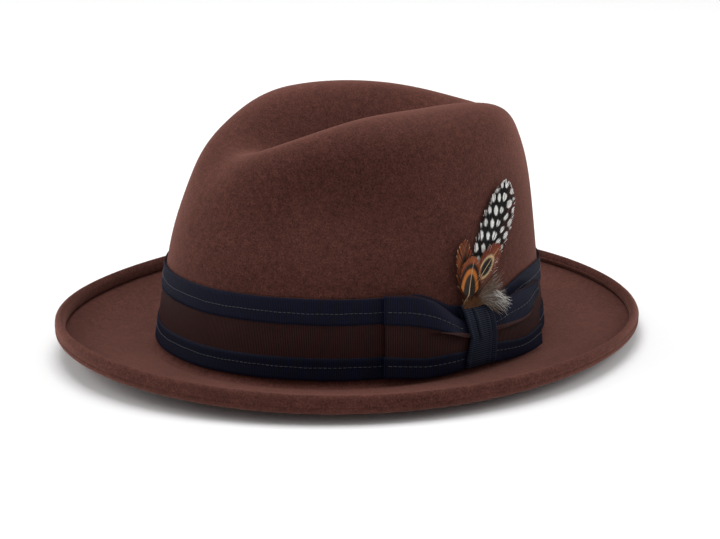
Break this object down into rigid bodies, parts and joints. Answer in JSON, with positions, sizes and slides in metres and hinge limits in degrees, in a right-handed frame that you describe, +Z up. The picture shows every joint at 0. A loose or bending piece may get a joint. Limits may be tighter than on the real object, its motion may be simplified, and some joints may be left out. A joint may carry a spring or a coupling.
{
  "type": "fedora hat",
  "caption": "Creased felt fedora with a rolled brim edge, a three-stripe ribbon band, a flat side bow and a tucked-in feather trim.",
  "frame": {"origin": "middle of the hat's footprint, on the surface the hat stands on", "axes": "+Z up through the crown, -Y towards the front of the hat, +X towards the wearer's left, the bow side"},
  "size_m": [0.271, 0.3088, 0.1248],
  "materials": {
    "brown_ribbon": "ribbed grosgrain ribbon, dark brown",
    "clear_vinyl": "clear flexible sheet",
    "down": "grey-beige down",
    "felt": "brushed wool felt, dark chocolate brown",
    "guinea_feather": "black feather with white spots",
    "navy_ribbon": "ribbed grosgrain ribbon, dark navy",
    "pheasant_feather": "rust feather with black and cream marks",
    "satin": "satin lining",
    "sweat_leather": "smooth roan leather",
    "tape": "woven cotton tape",
    "thread": "fine grey-blue sewing thread"
  },
  "bodies": {
    "hat": {"band_ribbon_brown": "brown_ribbon", "band_ribbon_navy_lower": "navy_ribbon", "band_ribbon_navy_upper": "navy_ribbon", "band_thread_lower": "thread", "band_thread_upper": "thread", "bow_knot": "navy_ribbon", "bow_ribbon_brown": "brown_ribbon", "bow_ribbon_navy_lower": "navy_ribbon", "bow_ribbon_navy_upper": "navy_ribbon", "bow_thread_back_lower": "thread", "bow_thread_back_upper": "thread", "bow_thread_front_lower": "thread", "bow_thread_front_upper": "thread", "felt_body": "felt", "knot_thread_back": "thread", "knot_thread_front": "thread", "lining_piping": "satin", "lining_shield": "clear_vinyl", "lining_side": "satin", "lining_tip": "satin", "sweatband_bow": "satin", "sweatband_leather": "sweat_leather", "sweatband_reed": "tape", "sweatband_seam_thread": "thread", "sweatband_tape": "tape", "sweatband_thread": "thread"},
    "feather_trim": {"feather_binding": "tape", "feather_down": "down", "feather_guinea": "guinea_feather", "feather_pheasant_left": "pheasant_feather", "feather_pheasant_middle": "pheasant_feather", "feather_pheasant_right": "pheasant_feather"}
  },
  "joints": [
    {"name": "feather_slide", "type": "slide", "parent": "hat", "child": "feather_trim", "axis": [-0.105, 0.0092, 0.9944], "range_m": [0, 0.035]}
  ]
}
